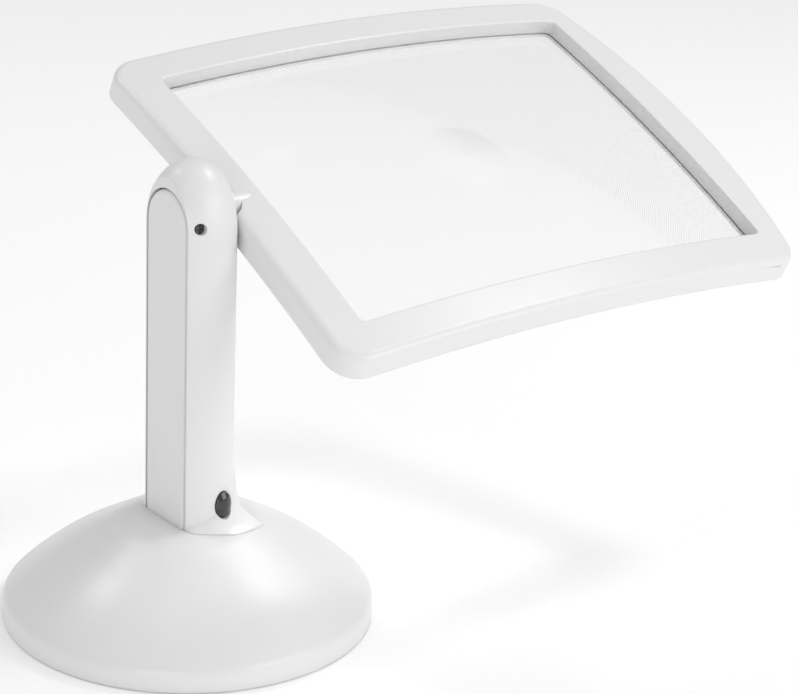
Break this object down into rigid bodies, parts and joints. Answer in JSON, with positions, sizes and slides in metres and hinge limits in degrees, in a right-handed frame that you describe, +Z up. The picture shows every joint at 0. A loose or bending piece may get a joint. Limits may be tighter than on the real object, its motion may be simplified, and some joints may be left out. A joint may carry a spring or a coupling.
{
  "type": "low vision magnifier",
  "caption": "Desk reading magnifier: large clear sheet lens in a curved white frame, tilting on a short post with a push button, on a weighted round base.",
  "frame": {"origin": "centre of the round base, at the level of the table that its pads stand on", "axes": "+X runs along the tilt axis from the post towards the lens frame, +Z is up, -Y is the side with the push button"},
  "size_m": [0.3, 0.1556, 0.1889],
  "materials": {
    "white_shell": "satin moulded white ABS",
    "white_frame": "satin moulded white ABS",
    "white_panel": "satin moulded white ABS, fine texture",
    "grey_plastic": "plain moulded underside plastic",
    "clear_lens": "clear acrylic sheet with fine concentric ribs",
    "black_button": "polished black",
    "black_plastic": "plain black moulding",
    "iron_weight": "as cast",
    "steel_screw": "zinc plated",
    "dark_screw": "black oxide",
    "nickel_contact": "nickel plated",
    "cell_wrap": "plain printed-free film over steel can",
    "foam_rubber": "soft anti-slip pad",
    "brass_axle": "turned",
    "acetal": "self-lubricating bush",
    "light_strip": "white solder mask on flexible strip",
    "lamp": "clear lamp body",
    "window": "frosted clear strip",
    "lead_jacket": "white two core lead"
  },
  "bodies": {
    "stand": {"base_cover": "white_shell", "base_plate": "grey_plastic", "ballast_ring": "iron_weight", "foot_pads": "foam_rubber", "base_screws": "steel_screw", "battery_cells": "cell_wrap", "battery_springs": "nickel_contact", "battery_contacts": "nickel_contact", "post_shell": "white_shell", "post_front_panel": "white_panel", "panel_screw": "dark_screw", "post_screws": "steel_screw", "switch_body": "black_plastic", "pivot_bush": "acetal", "post_lead": "lead_jacket"},
    "battery_door": {"battery_door": "grey_plastic", "door_pad": "foam_rubber"},
    "push_button": {"switch_button": "black_button", "switch_plunger": "black_plastic"},
    "lens_frame": {"lens_frame_top": "white_frame", "lens_frame_bottom": "white_frame", "fresnel_lens": "clear_lens", "pivot_axle": "brass_axle", "friction_washer": "foam_rubber", "wave_washer": "steel_screw", "pivot_nut": "steel_screw", "led_strips": "light_strip", "leds": "lamp", "led_windows": "window", "frame_screws": "steel_screw"}
  },
  "joints": [
    {"name": "lens_tilt", "type": "hinge", "parent": "stand", "child": "lens_frame", "pos_m": [0.012, 0, 0.1485], "axis": [1, 0, 0], "range_deg": [-114, 65]},
    {"name": "button_press", "type": "slide", "parent": "stand", "child": "push_button", "axis": [0, 1, 0], "range_m": [0, 0.0012], "stiffness_N_per_m": 900},
    {"name": "battery_door_lift", "type": "slide", "parent": "stand", "child": "battery_door", "axis": [0, 0, -1], "range_m": [0, 0.02]}
  ]
}
